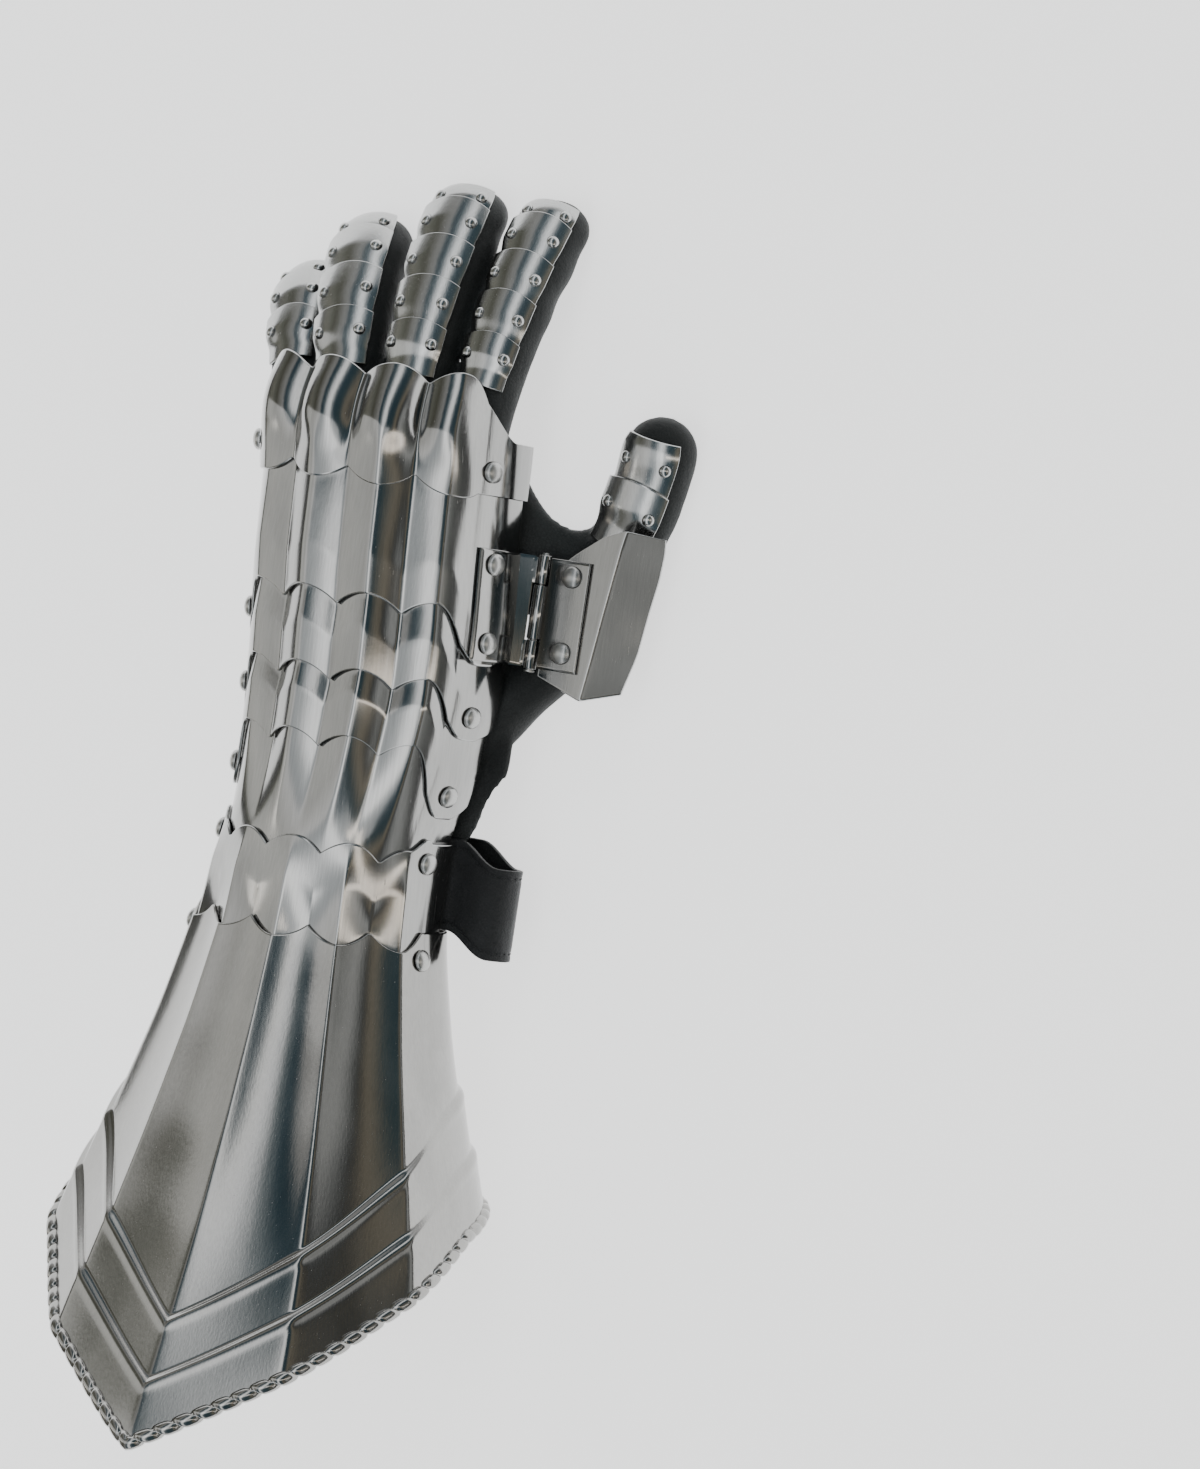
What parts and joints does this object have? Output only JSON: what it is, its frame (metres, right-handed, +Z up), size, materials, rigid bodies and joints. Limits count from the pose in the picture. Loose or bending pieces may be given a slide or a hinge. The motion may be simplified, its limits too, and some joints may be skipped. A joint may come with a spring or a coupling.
{
  "type": "armoured gauntlet",
  "caption": "Left-hand plate gauntlet with a flared peaked cuff, fluted hand lames, riveted finger scales and a hinged thumb guard over a leather glove, lying palm down.",
  "frame": {"origin": "centre of the bounding box in plan, on the surface that the gauntlet lies on", "axes": "+Y from the cuff to the fingertips, +X to the thumb side, +Z up, out of the back of the hand"},
  "size_m": [0.1782, 0.4286, 0.1572],
  "materials": {
    "steel": "polished, with fine lengthwise brush marks",
    "leather": "soft matt grain"
  },
  "bodies": {
    "hand": {"cuff": "steel", "glove": "leather", "hand_lame_1": "steel", "hand_lame_2": "steel", "hinge_leaf_hand": "steel", "hinge_pin": "steel", "index_scale_1": "steel", "index_scale_2": "steel", "index_scale_3": "steel", "index_scale_4": "steel", "index_scale_5": "steel", "knuckle_plate": "steel", "little_scale_1": "steel", "little_scale_2": "steel", "little_scale_3": "steel", "metacarpal_plate": "steel", "middle_scale_1": "steel", "middle_scale_2": "steel", "middle_scale_3": "steel", "middle_scale_4": "steel", "middle_scale_5": "steel", "ring_scale_1": "steel", "ring_scale_2": "steel", "ring_scale_3": "steel", "ring_scale_4": "steel", "rivet_cuff_little_side": "steel", "rivet_cuff_thumb_side": "steel", "rivet_hinge_hand_leaf": "steel", "rivet_knuckle_little_side": "steel", "rivet_knuckle_thumb_side": "steel", "rivet_lame_1_little_side": "steel", "rivet_lame_1_thumb_side": "steel", "rivet_lame_2_little_side": "steel", "rivet_lame_2_thumb_side": "steel", "rivet_metacarpal_little_side": "steel", "rivet_metacarpal_thumb_side": "steel", "rivet_wrist_little_side": "steel", "rivet_wrist_thumb_side": "steel", "wrist_lame": "steel", "wrist_plate": "steel", "wrist_strap": "leather"},
    "thumb_guard": {"hinge_leaf_thumb": "steel", "thumb_plate": "steel", "thumb_strip": "steel", "thumb_tip": "steel", "rivet_hinge_thumb_leaf_1": "steel", "rivet_hinge_thumb_leaf_2": "steel"}
  },
  "joints": [
    {"name": "thumb_guard_hinge", "type": "hinge", "parent": "hand", "child": "thumb_guard", "pos_m": [0.04458, 0.07038, 0.02847], "axis": [0, -0.9958, 0.0915], "range_deg": [0, 60]}
  ]
}
